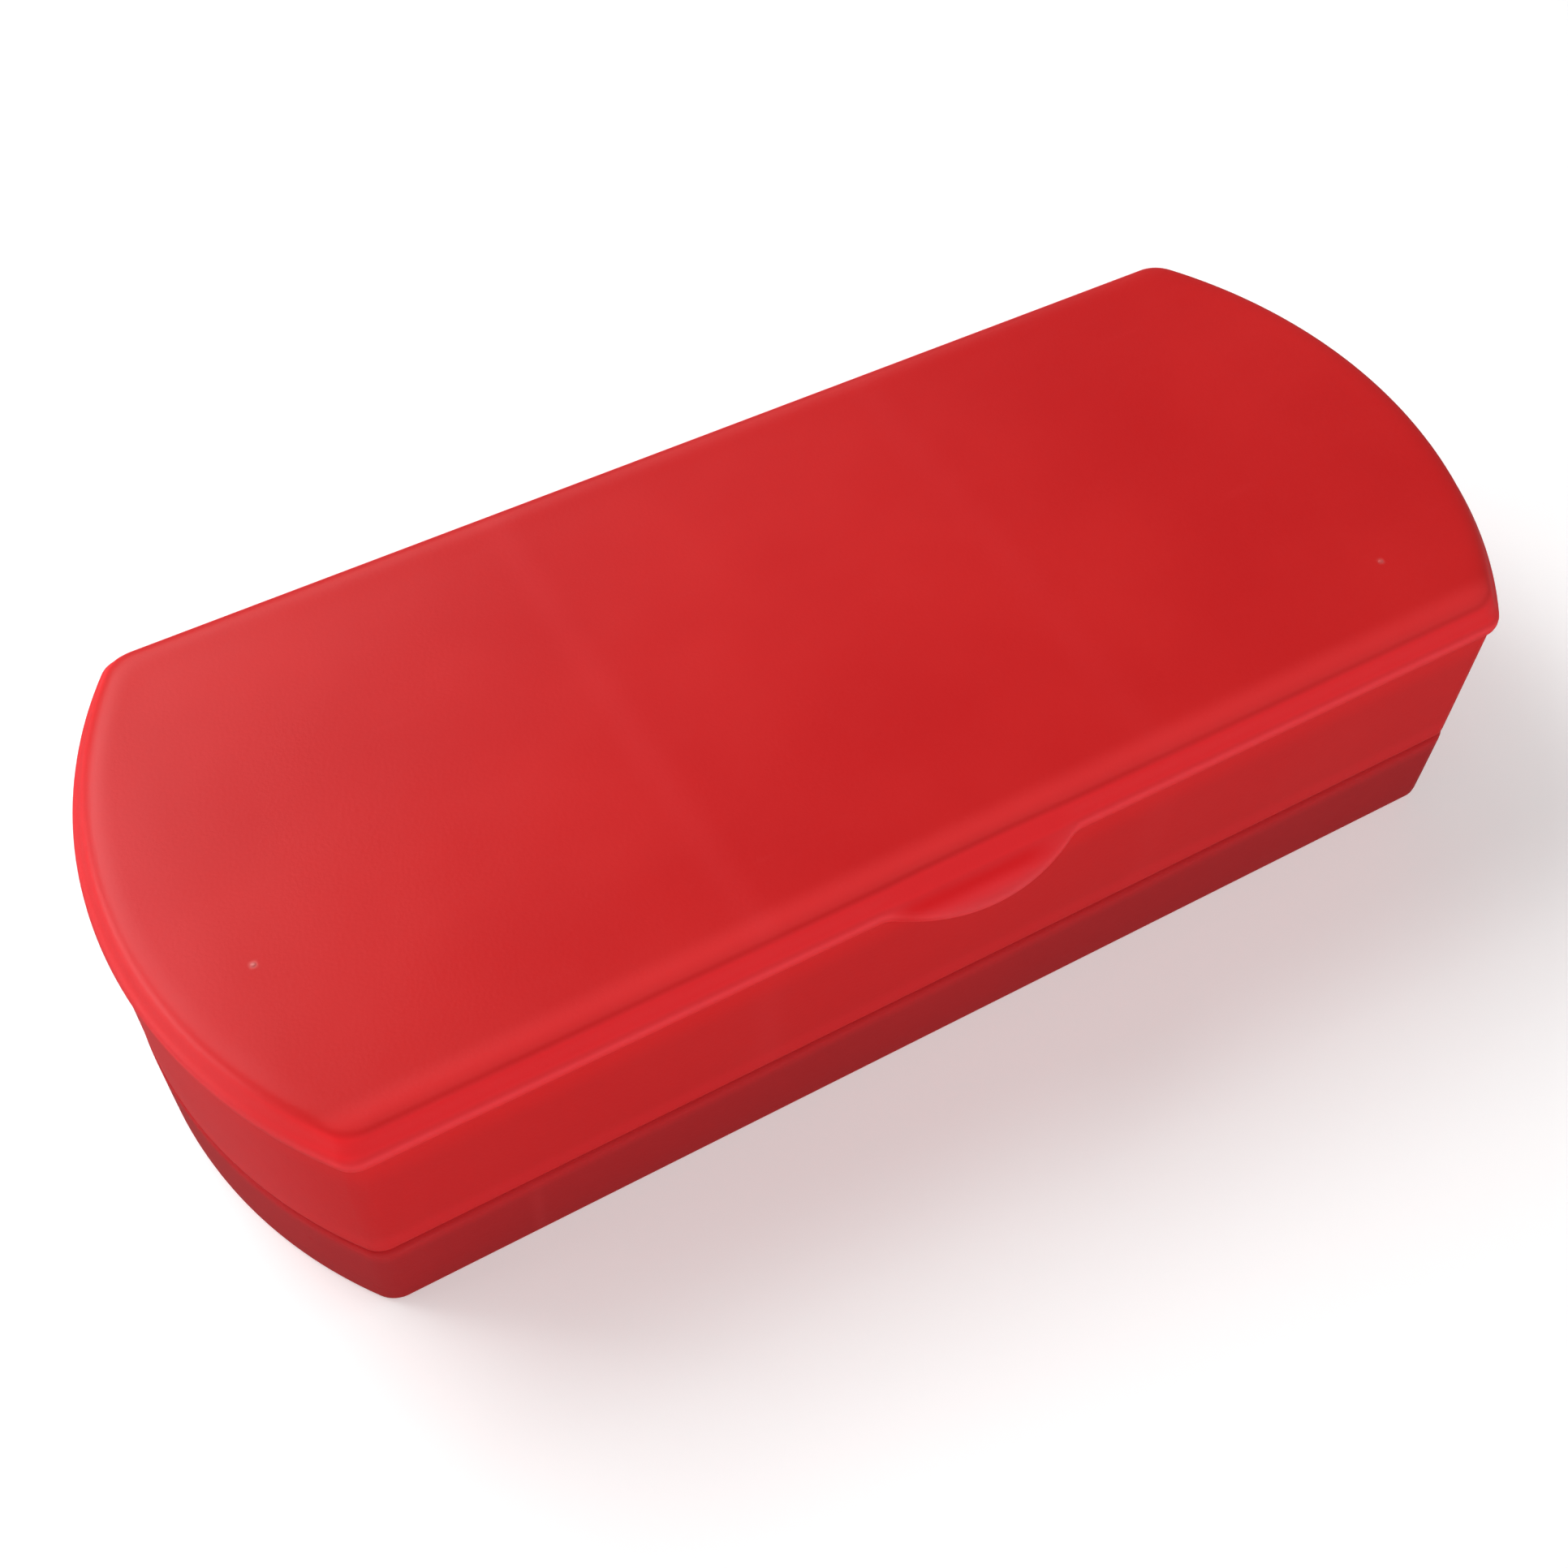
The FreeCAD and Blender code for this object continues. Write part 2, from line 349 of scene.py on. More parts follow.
    def build(self) -> bpy.types.Material:
        """Builds the material."""
        s = Surface(self.name)
        rise = s.z + (-self.rim_y - s.y).at_least(0.0) * TAB_SLOPE
        colour = self._streaks_and_painted_light(s, rise, self._walls(s, rise))
        outside = s.z.step(*self.inside_z)
        for x, y, strength in self.specks:
            spot = s.x.near(x, self.speck_size) * s.y.near(y, self.speck_size)
            colour = s.blend(spot * outside * strength, colour, self.pale)
        scuff = s.noise(1.6, detail=4.0, stretch=(0.12, 1.0, 1.0)).step(0.66, 0.80)
        colour = s.blend(scuff * 0.06, colour, self.edge)
        dull_spot = s.noise(0.9, detail=1.0).step(0.80, 0.86)
        grain = s.noise(0.28)
        flow = s.noise(11.0, detail=1.0)
        return s.finish(
            Base_Color=colour,
            Roughness=self.roughness + (s.noise(7.0) - 0.5) * 0.08 + scuff * 0.10 + dull_spot * 0.1,
            Normal=s.bump(grain, 0.010, s.bump(flow, 0.09)),
            IOR=1.49,
            Specular_IOR_Level=0.30,
            Subsurface_Weight=0.18,
            Subsurface_Radius=(1.0, 0.10, 0.08),
            Subsurface_Scale=1.6 * MM,
        )


@dataclass(frozen=True)
class KneadedClay:
    """Dense putty with a dull skin, faint press marks and fine grit.

    Attributes:
        name: The material's name.
        body: The clay's colour.
        pale: Colour of its marbling and its grit.
    """

    name: str
    body: tuple
    pale: tuple

    def build(self) -> bpy.types.Material:
        """Builds the material."""
        s = Surface(self.name)
        marbling = s.noise(8.0, detail=4.0, stretch=(1.0, 0.5, 1.0))
        grit = s.noise(0.35)
        colour = s.blend(marbling.step(0.35, 0.75), self.body, self.pale)
        colour = s.blend(grit.step(0.68, 0.76) * 0.5, colour, self.pale)
        normal = s.bump(grit, 0.03, s.bump(s.noise(3.5, detail=3.0), 0.22))
        return s.finish(
            Base_Color=colour,
            Roughness=0.56 + (marbling - 0.5) * 0.2,
            Normal=normal,
            IOR=1.47,
            Subsurface_Weight=0.08,
            Subsurface_Radius=(0.5, 0.6, 1.0),
            Subsurface_Scale=0.8 * MM,
        )


@dataclass(frozen=True)
class ClearFilm:
    """Thin clear wrapping film, cloudier in its creases.

    Attributes:
        name: The material's name.
        tint: Colour where it is clear.
    """

    name: str
    tint: tuple

    def build(self) -> bpy.types.Material:
        """Builds the material."""
        s = Surface(self.name)
        crease = s.noise(4.0, detail=4.0, stretch=(1.0, 0.35, 1.0))
        haze = crease.step(0.50, 0.72)
        return s.finish(
            Base_Color=s.blend(haze, self.tint, (1, 1, 1, 1)),
            Roughness=0.12 + haze * 0.16,
            Alpha=0.13 + haze * 0.10,
            Normal=s.bump(crease, 0.25),
            IOR=1.48,
        )


@dataclass(frozen=True)
class DrawnSteel:
    """Bright drawn wire, with the die's lines along X.

    Attributes:
        name: The material's name.
        colour: The wire's colour.
        bright: Its colour along the die's lines.
    """

    name: str
    colour: tuple
    bright: tuple = srgb(214, 214, 218)

    def build(self) -> bpy.types.Material:
        """Builds the material."""
        s = Surface(self.name)
        lines = s.noise(0.25, detail=3.0, stretch=(0.04, 1.0, 1.0))
        return s.finish(
            Base_Color=s.blend(lines, self.colour, self.bright),
            Metallic=1.0,
            Roughness=0.22 + lines * 0.16,
            Normal=s.bump(lines, 0.01),
        )


@dataclass(frozen=True)
class StudioFloor:
    """Plain pale card, lit from behind a little under the object and fully far from it.

    Attributes:
        name: The material's name.
        colour: The card's own colour.
        glow: Light from behind it near the object, from 0 to 1.
        bright_from, bright_by: Distances over which the glow rises to 1, in millimetres.
    """

    name: str
    colour: tuple
    glow: float = 0.30
    bright_from: float = 180.0
    bright_by: float = 420.0

    def build(self) -> bpy.types.Material:
        """Builds the material."""
        s = Surface(self.name)
        mottle = s.noise(60.0)
        distance = s.add("ShaderNodeVectorMath", {"operation": "LENGTH"}, {0: s.place}, output="Value")
        away = (distance / MM).step(self.bright_from, self.bright_by)
        return s.finish(
            Base_Color=s.blend(mottle * 0.3, self.colour, (0.96, 0.96, 0.96, 1)),
            Roughness=0.9,
            Specular_IOR_Level=0.1,
            Emission_Color=s.blend(away, (self.glow, self.glow, self.glow, 1), (1, 1, 1, 1)),
            Emission_Strength=1.0,
        )


class Finish(Enum):
    """The finishes that the object's pieces are made in."""

    LID = MouldedPlastic(
        "lid_red_plastic",
        deep=srgb(202, 29, 31),
        lit=srgb(211, 37, 37),
        side=srgb(211, 18, 22),
        # Painted sheen along the panel's front edge.
        front=srgb(238, 60, 62),
        edge=srgb(232, 66, 72),
        # Painted highlights on the upper skirt, the rim bead and the shoulder, and a painted glow at the
        # skirt's lower edge.
        painted_light_bands=(
            (22.30, 0.00, 3.20, 0.45, srgb(236, 18, 22)),
            (24.90, 0.45, 0.92, 0.85, srgb(255, 40, 47)),
            (23.10, 0.00, 0.55, 0.80, srgb(255, 36, 42)),
            (23.85, 0.00, 0.75, 0.85, srgb(255, 56, 64)),
            (10.40, 0.00, 1.60, 0.35, srgb(232, 30, 38)),
        ),
        show_through=((-17.8, 2.2, 0.09), (17.0, 2.6, 0.06)),
        specks=((*PIPS[0], 0.6), (*PIPS[1], 0.3)),
    )
    # The tray takes a darker red than the lid all over, so the case is darker towards the bottom.
    BASE = MouldedPlastic(
        "base_red_plastic",
        deep=srgb(176, 18, 24),
        lit=srgb(184, 22, 28),
        side=srgb(180, 18, 24),
        front=srgb(180, 18, 24),
        edge=srgb(208, 52, 56),
        # Painted highlight along the top of the tray's wall.
        painted_light_bands=((8.40, 0.00, 1.50, 0.50, srgb(214, 30, 36)),),
        show_through=((-37.6, 0.8, 0.20),),
        # A weaker painted sheen on the tray's left end.
        left_end_sheen=0.15,
        roughness=0.40,
    )
    CLAY = KneadedClay("detailing_clay", body=srgb(58, 92, 150), pale=srgb(84, 120, 176))
    FILM = ClearFilm("wrapping_film", tint=srgb(226, 236, 244))
    PIN = DrawnSteel("hinge_pin_wire", colour=srgb(176, 178, 182))
    FLOOR = StudioFloor("studio_floor", colour=(0.90, 0.90, 0.90, 1))

    def material(self) -> bpy.types.Material:
        """The finish's material, built the first time it is asked for."""
        return bpy.data.materials.get(self.value.name) or self.value.build()


# --- Meshes ---


class MeshKit:
    """Turns rows of points and bmeshes into finished objects."""

    @staticmethod
    def sweep(rows: Sequence[np.ndarray]) -> bmesh.types.BMesh:
        """Joins closed rings of equal length, one after the other, with four-sided faces.

        Args:
            rows: Rings of points in millimetres, in order along the section.

        Returns:
            A bmesh in metres. Points that meet are merged.
        """
        bm = bmesh.new()
        grid = [[bm.verts.new(Vector(point) * MM) for point in row] for row in rows]
        count = len(rows[0])
        for lower, upper in zip(grid, grid[1:]):
            for i in range(count):
                j = (i + 1) % count
                bm.faces.new((lower[i], lower[j], upper[j], upper[i]))
        bmesh.ops.remove_doubles(bm, verts=bm.verts, dist=1e-7)
        return bm

    @staticmethod
    def mesh(name: str, *parts: bmesh.types.BMesh, sharp_deg: float = 38.0) -> bpy.types.Mesh:
        """Joins bmeshes into one smooth mesh.

        Args:
            name: The mesh's name.
            *parts: What it is made of; they are freed.
            sharp_deg: Edges that turn by more than this stay sharp.

        Returns:
            The mesh.
        """
        data = bpy.data.meshes.new(name)
        joined = bmesh.new()
        for part in parts:
            part.to_mesh(data)
            joined.from_mesh(data)
            part.free()
        joined.to_mesh(data)
        joined.free()
        data.shade_smooth()
        data.set_sharp_from_angle(angle=math.radians(sharp_deg))
        return data

    @staticmethod
    def place(data: bpy.types.Mesh, finish: Finish, body: str, slot: str,
              stands_for: Iterable[str] = ()) -> bpy.types.Object:
        """Makes an object of the mesh and ties it to the frame.

        Args:
            data: The mesh, in the row frame.
            finish: What it is made in.
            body: The CAD body that it rides on.
            slot: The record's material slot; not used.
            stands_for: CAD nodes that it replaces.

        Returns:
            The object.
        """
        obj = bpy.data.objects.new(data.name, data)
        bpy.context.scene.collection.objects.link(obj)
        data.materials.clear()
        data.materials.append(finish.material())
        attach(obj, body)
        nodes = tuple(stands_for)
        if nodes:
            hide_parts(*nodes)
        log.info("%s: %d faces, rides on %s", obj.name, len(data.polygons), body)
        return obj


@dataclass(frozen=True)
class Hinge:
    """The hinge line on the back of the case, in millimetres.

    Attributes:
        y, z: The axis, from the frame's joint.
        centres: The x of each hinge's middle.
        barrel: Radius of a knuckle.
        bore: Radius of the hole through it.
        lid_knuckle, base_knuckle: Lengths along the axis.
        gap: Space between neighbouring knuckles.
        clearance: Space round a knuckle, in the other shell.
        root_y, foot_y: How deep a knuckle's flank is rooted in its wall, and where its outer face ends.
        web_reach: How far a flank runs along the wall.
        edge: Radius of a knuckle's edges.
    """

    y: float
    z: float
    centres: tuple[float, ...] = (-30.0, 30.0)
    barrel: float = 1.40
    bore: float = 0.66
    lid_knuckle: float = 6.2
    base_knuckle: float = 3.6
    gap: float = 0.25
    clearance: float = 0.30
    root_y: float = 23.6
    foot_y: float = 23.925
    web_reach: float = 4.4
    edge: float = 0.18

    def spans(self, lid: bool) -> list[tuple[float, float]]:
        """Where one hinge's knuckles are.

        Args:
            lid: Whether the lid's or the base's are asked for.

        Returns:
            From-to along X of each, counted from the hinge's middle.
        """
        half = self.lid_knuckle / 2
        if lid:
            return [(-half, half)]
        near = half + self.gap
        far = near + self.base_knuckle
        return [(-far, -near), (near, far)]

    def notches(self, lid: bool) -> list[tuple[float, float]]:
        """Where a shell is cut clear of the other one's knuckles.

        Args:
            lid: Whether the lid or the base is cut.

        Returns:
            From-to along X of each notch.
        """
        return [
            (centre + low - self.gap, centre + high + self.gap)
            for centre in self.centres
            for low, high in self.spans(not lid)
        ]

    def groove_y(self, z: float) -> float:
        """How far back the wall may reach at that height inside a notch."""
        radius = self.barrel + self.clearance
        inside = radius ** 2 - (z - self.z) ** 2
        return self.y - math.sqrt(inside) if inside > 0 else math.inf

    def _reach(self, angle: float, sign: float) -> float:
        """Distance from the axis to the knuckle's outline.

        Args:
            angle: Direction, in radians from +Y.
            sign: 1 where the flank runs up, and -1 where it runs down.

        Returns:
            The distance in that direction.
        """
        root, foot = self.root_y - self.y, self.foot_y - self.y
        far = math.hypot(foot, self.web_reach)
        tangent = math.atan2(self.web_reach, foot) - math.acos(self.barrel / far)
        dy, dz = math.cos(angle), math.sin(angle) * sign
        best = self.barrel
        corners = [
            (root, 0.0),
            (root, self.web_reach),
            (foot, self.web_reach),
            (self.barrel * math.cos(tangent), self.barrel * math.sin(tangent)),
        ]
        for (y0, z0), (y1, z1) in zip(corners, corners[1:]):
            ey, ez = y1 - y0, z1 - z0
            cross = dy * ez - dz * ey
            if abs(cross) < 1e-9:
                continue
            along = (y0 * ez - z0 * ey) / cross
            where = (y0 * dz - z0 * dy) / cross
            if along > 0 and 0 <= where <= 1:
                best = max(best, along)
        return best

    def knuckle(self, low: float, high: float, sign: float, steps: int = 96) -> bmesh.types.BMesh:
        """One bored knuckle with its flank.

        Args:
            low, high: Its ends along X.
            sign: 1 for the lid's, whose flank runs up, and -1 for the base's.
            steps: Points round it.

        Returns:
            A closed bmesh.
        """
        edge = self.edge
        angles = [2 * math.pi * i / steps for i in range(steps)]
        outer = [self._reach(angle, sign) for angle in angles]

        def ring(x: float, radii: Sequence[float]) -> np.ndarray:
            """The outline at x, with a distance from the axis for each angle."""
            return np.array([
                (x, self.y + r * math.cos(a), self.z + r * math.sin(a)) for r, a in zip(radii, angles)
            ])

        holes = [self.bore] * steps
        mouth = [self.bore + edge * 0.6] * steps
        trimmed = [r - edge for r in outer]
        eased = [r - edge * 0.3 for r in outer]
        rows = [
            ring(high - edge * 0.6, holes),
            ring(high, mouth),
            ring(high, trimmed),
            ring(high - edge * 0.3, eased),
            ring(high - edge, outer),
            ring(low + edge, outer),
            ring(low + edge * 0.3, eased),
            ring(low, trimmed),
            ring(low, mouth),
            ring(low + edge * 0.6, holes),
            ring(high - edge * 0.6, holes),
        ]
        bm = MeshKit.sweep(rows)
        bmesh.ops.recalc_face_normals(bm, faces=bm.faces)
        return bm


class Rule(Canvas):
    """A geometry-nodes tree that turns a mesh and a few values into a plain mesh."""

    def __init__(self, name: str, kinds: dict[str, str]) -> None:
        """Makes the tree and its inputs.

        Args:
            name: The tree's name.
            kinds: Each value's name to its socket type.
        """
        tree = bpy.data.node_groups.new(name, "GeometryNodeTree")
        super().__init__(tree)
        face = tree.interface
        face.new_socket("Geometry", in_out="INPUT", socket_type="NodeSocketGeometry")
        self.keys = {
            key: face.new_socket(key, in_out="INPUT", socket_type=kind).identifier
            for key, kind in kinds.items()
        }
        face.new_socket("Geometry", in_out="OUTPUT", socket_type="NodeSocketGeometry")
        node = self.add("NodeGroupInput").socket.node
        self.given = [Wire(self, node.outputs[i]) for i in range(1 + len(kinds))]

    def close(self, geometry: Wire, finish: Finish) -> None:
        """Makes the geometry real, gives it its finish and hands it on."""
        real = self.add("GeometryNodeRealizeInstances", None, {0: geometry})
        dressed = self.add("GeometryNodeSetMaterial", None, {0: real, "Material": finish.material()})
        self.add("NodeGroupOutput", None, {0: dressed})

    def apply(self, data: bpy.types.Mesh, values: dict[str, Any]) -> bpy.types.Mesh:
        """Runs the tree on a mesh.

        Args:
            data: The mesh.
            values: The tree's values, by name.

        Returns:
            The result as a plain mesh.
        """
        obj = bpy.data.objects.new(data.name, data)
        bpy.context.scene.collection.objects.link(obj)
        modifier = obj.modifiers.new("rule", "NODES")
        modifier.node_group = self.tree
        for key, value in values.items():
            modifier[self.keys[key]] = value
        graph = bpy.context.evaluated_depsgraph_get()
        result = bpy.data.meshes.new_from_object(obj.evaluated_get(graph))
        bpy.data.objects.remove(obj)
        return result


class KnuckleRow(Rule):
    """Repeats one hinge's knuckles along the back of the case."""

    def __init__(self, finish: Finish) -> None:
        """Builds the tree: a line of points, and the knuckles on each.

        Args:
            finish: What the knuckles are made in.
        """
        kinds = {"Hinges": "NodeSocketInt", "First hinge": "NodeSocketVector", "Pitch": "NodeSocketVector"}
        super().__init__("knuckle_row", kinds)
        knuckles, count, start, pitch = self.given
        inputs = {"Count": count, "Start Location": start, "Offset": pitch}
        line = self.add("GeometryNodeMeshLine", {"mode": "OFFSET"}, inputs)
        copies = self.add("GeometryNodeInstanceOnPoints", None, {"Points": line, "Instance": knuckles})
        self.close(copies, finish)

    def repeat(self, data: bpy.types.Mesh, hinge: Hinge) -> bpy.types.Mesh:
        """Puts a copy of the mesh at each hinge.

        Args:
            data: The knuckles of one hinge, centred on x = 0.
            hinge: The hinge line.

        Returns:
            The row as one plain mesh.
        """
        first, second = hinge.centres
        return self.apply(data, {
            "Hinges": len(hinge.centres),
            "First hinge": (first * MM, 0.0, 0.0),
            "Pitch": ((second - first) * MM, 0.0, 0.0),
        })


@dataclass(frozen=True)
class CasePlan:
    """The case seen from above: straight long sides, bowed ends and rounded corners, in millimetres.

    Attributes:
        half_length: Half the length over the bowed ends, from the frame.
        tab_reach: How far the thumb tab stands out past the rim bead, from the frame.
        half_width: Half the depth across the rim bead.
        side_length: Length of a straight side, corner to corner.
        tab_half_base: Half the tab's width where it leaves the bead.
        tab_root: Radius where the tab runs out into the bead.
        corner_steps, bow_steps: Points round a corner and round a bowed end.
        side_step, tab_step: Distance between points along the sides, and across the tab.
        side_points, tab_points: How many such points there are to each side of the middle.
        breaks: Places along the sides that need a sharp step, such as a notch's ends.
        flank: Half the length over which such a step is made.
        closest: Points nearer to their neighbour than this are left out.
    """

    half_length: float
    tab_reach: float
    half_width: float = 24.525
    side_length: float = 100.0
    tab_half_base: float = 9.0
    tab_root: float = 3.0
    corner_steps: int = 12
    bow_steps: int = 56
    side_step: float = 2.0
    tab_step: float = 0.25
    side_points: int = 22
    tab_points: int = 40
    breaks: tuple[float, ...] = ()
    flank: float = 0.03
    closest: float = 0.02

    @property
    def bow_radius(self) -> float:
        """Radius of the bowed ends."""
        bow = self.half_length - self.side_length / 2
        return (self.half_width ** 2 + bow ** 2) / (2 * bow)

    @property
    def bow_centre(self) -> float:
        """The x of the right bow's centre."""
        return self.half_length - self.bow_radius

    def stations(self) -> list[float]:
        """Where the rings have points along the straight sides, from left to right."""
        tab_end = self.tab_step * self.tab_points
        coarse = [self.side_step * i for i in range(-self.side_points, self.side_points + 1)]
        fine = [self.tab_step * i for i in range(-self.tab_points, self.tab_points + 1)]
        steps = [x + side * self.flank for x in self.breaks for side in (-1, 1)]
        places = sorted(set([x for x in coarse if abs(x) > tab_end] + fine + steps))
        return [x for i, x in enumerate(places) if i == 0 or x - places[i - 1] > self.closest]

    def ring(self, inset: float, z: float, corner: float) -> np.ndarray:
        """The outline moved in by inset, anticlockwise from the front left.

        Args:
            inset: Distance in from the rim bead.
            z: Height.
            corner: Corner radius.

        Returns:
            Points as rows of x, y, z.
        """
        half = self.half_width - inset
        bow = self.bow_radius - inset
        cx = self.bow_centre + math.sqrt((bow - corner) ** 2 - (half - corner) ** 2)
        cy = half - corner
        turn = math.atan2(cy, cx - self.bow_centre)
        side = self.stations()

        def arc(x: float, y: float, radius: float, start: float, end: float, steps: int) -> list:
            """Points along an arc round x, y, without its last one."""
            return [
                (x + radius * math.cos(start + (end - start) * i / steps),
                 y + radius * math.sin(start + (end - start) * i / steps))
                for i in range(steps)
            ]

        quarter = math.pi / 2
        points = [(x, -half) for x in side]
        points += arc(cx, -cy, corner, -quarter, -turn, self.corner_steps)
        points += arc(self.bow_centre, 0, bow, -turn, turn, self.bow_steps)
        points += arc(cx, cy, corner, turn, quarter, self.corner_steps)
        points += [(cx, half)] + [(x, half) for x in reversed(side)]
        points += arc(-cx, cy, corner, quarter, math.pi - turn, self.corner_steps)
        points += arc(-self.bow_centre, 0, bow, math.pi - turn, math.pi + turn, self.bow_steps)
        points += arc(-cx, -cy, corner, math.pi + turn, 3 * quarter, self.corner_steps)
        points += [(-cx, -half)]
        return np.array([(x, y, z) for x, y in points])

    def drawn_in(self, ring: np.ndarray, amount: float, z: float, spine: float = 30.0) -> np.ndarray:
        """Shrinks a ring towards the middle line.

        Args:
            ring: The ring.
            amount: 0 leaves it as it is, and 1 lays it on the line.
            z: Its new height.
            spine: Half the line's length.

        Returns:
            The new ring.
        """
        target = np.stack([np.clip(ring[:, 0], -spine, spine), np.zeros(len(ring)), ring[:, 2]], axis=1)
        moved = ring * (1 - amount) + target * amount
        moved[:, 2] = z
        return moved

    def tab(self, x: float) -> float:
        """How far the thumb tab stands out.

        Args:
            x: Place along the front.

        Returns:
            The distance past the rim bead there.
        """
        radii = (self.tab_reach ** 2 + self.tab_half_base ** 2) / (2 * self.tab_reach)
        angle = 2 * math.atan(self.tab_reach / self.tab_half_base)
        nose = radii - self.tab_root
        out = abs(x)
        left = self.tab_half_base - out
        if left <= 0:
            return 0.0
        if left <= self.tab_root * math.sin(angle):
            return self.tab_root - math.sqrt(self.tab_root ** 2 - left ** 2)
        return self.tab_reach - nose + math.sqrt(nose ** 2 - out ** 2)


@dataclass(frozen=True)
class Row:
    """One line of a shell's section.

    Attributes:
        inset: Distance in from the rim bead, in millimetres.
        z: Height, in millimetres.
        corner: Corner radius of the outline there.
        tab: Share of the thumb tab's reach that this line takes, from 0 to 1.
        dip: How much further than the tab's slope the line is lowered in the middle of the tab.
    """

    inset: float
    z: float
    corner: float = 2.2
    tab: float = 0.0
    dip: float = 0.0


@dataclass
class Shell:
    """What the lid and the base share: a section carried round the plan, notched at the hinges.

    Attributes:
        plan: The case seen from above.
        hinge: The hinge line.
        is_lid: Whether this is the lid.
    """

    plan: CasePlan
    hinge: Hinge
    is_lid: bool

    def row(self, spec: Row) -> np.ndarray:
        """Carries one line of the section round the case.

        Args:
            spec: The line.

        Returns:
            Its points, with the notches and the thumb tab.
        """
        ring = self.plan.ring(spec.inset, spec.z, spec.corner)
        groove = self.hinge.groove_y(spec.z)
        for low, high in self.hinge.notches(self.is_lid):
            inside = (ring[:, 0] > low) & (ring[:, 0] < high) & (ring[:, 1] > 0)
            ring[inside, 1] = np.minimum(ring[inside, 1], groove)
        if spec.tab or spec.dip:
            for point in ring:
                reach = self.plan.tab(point[0]) if point[1] < 0 else 0.0
                point[1] -= spec.tab * reach
                point[2] -= spec.tab * reach * TAB_SLOPE + spec.dip * reach / self.plan.tab_reach
        return ring

    def knuckles(self, row: KnuckleRow, name: str) -> bmesh.types.BMesh:
        """This shell's knuckles at every hinge.

        Args:
            row: What repeats them.
            name: Their mesh's name.

        Returns:
            The knuckles as a bmesh.
        """
        sign = 1.0 if self.is_lid else -1.0
        parts = [self.hinge.knuckle(low, high, sign) for low, high in self.hinge.spans(self.is_lid)]
        bm = bmesh.new()
        bm.from_mesh(row.repeat(MeshKit.mesh(name, *parts), self.hinge))
        return bm


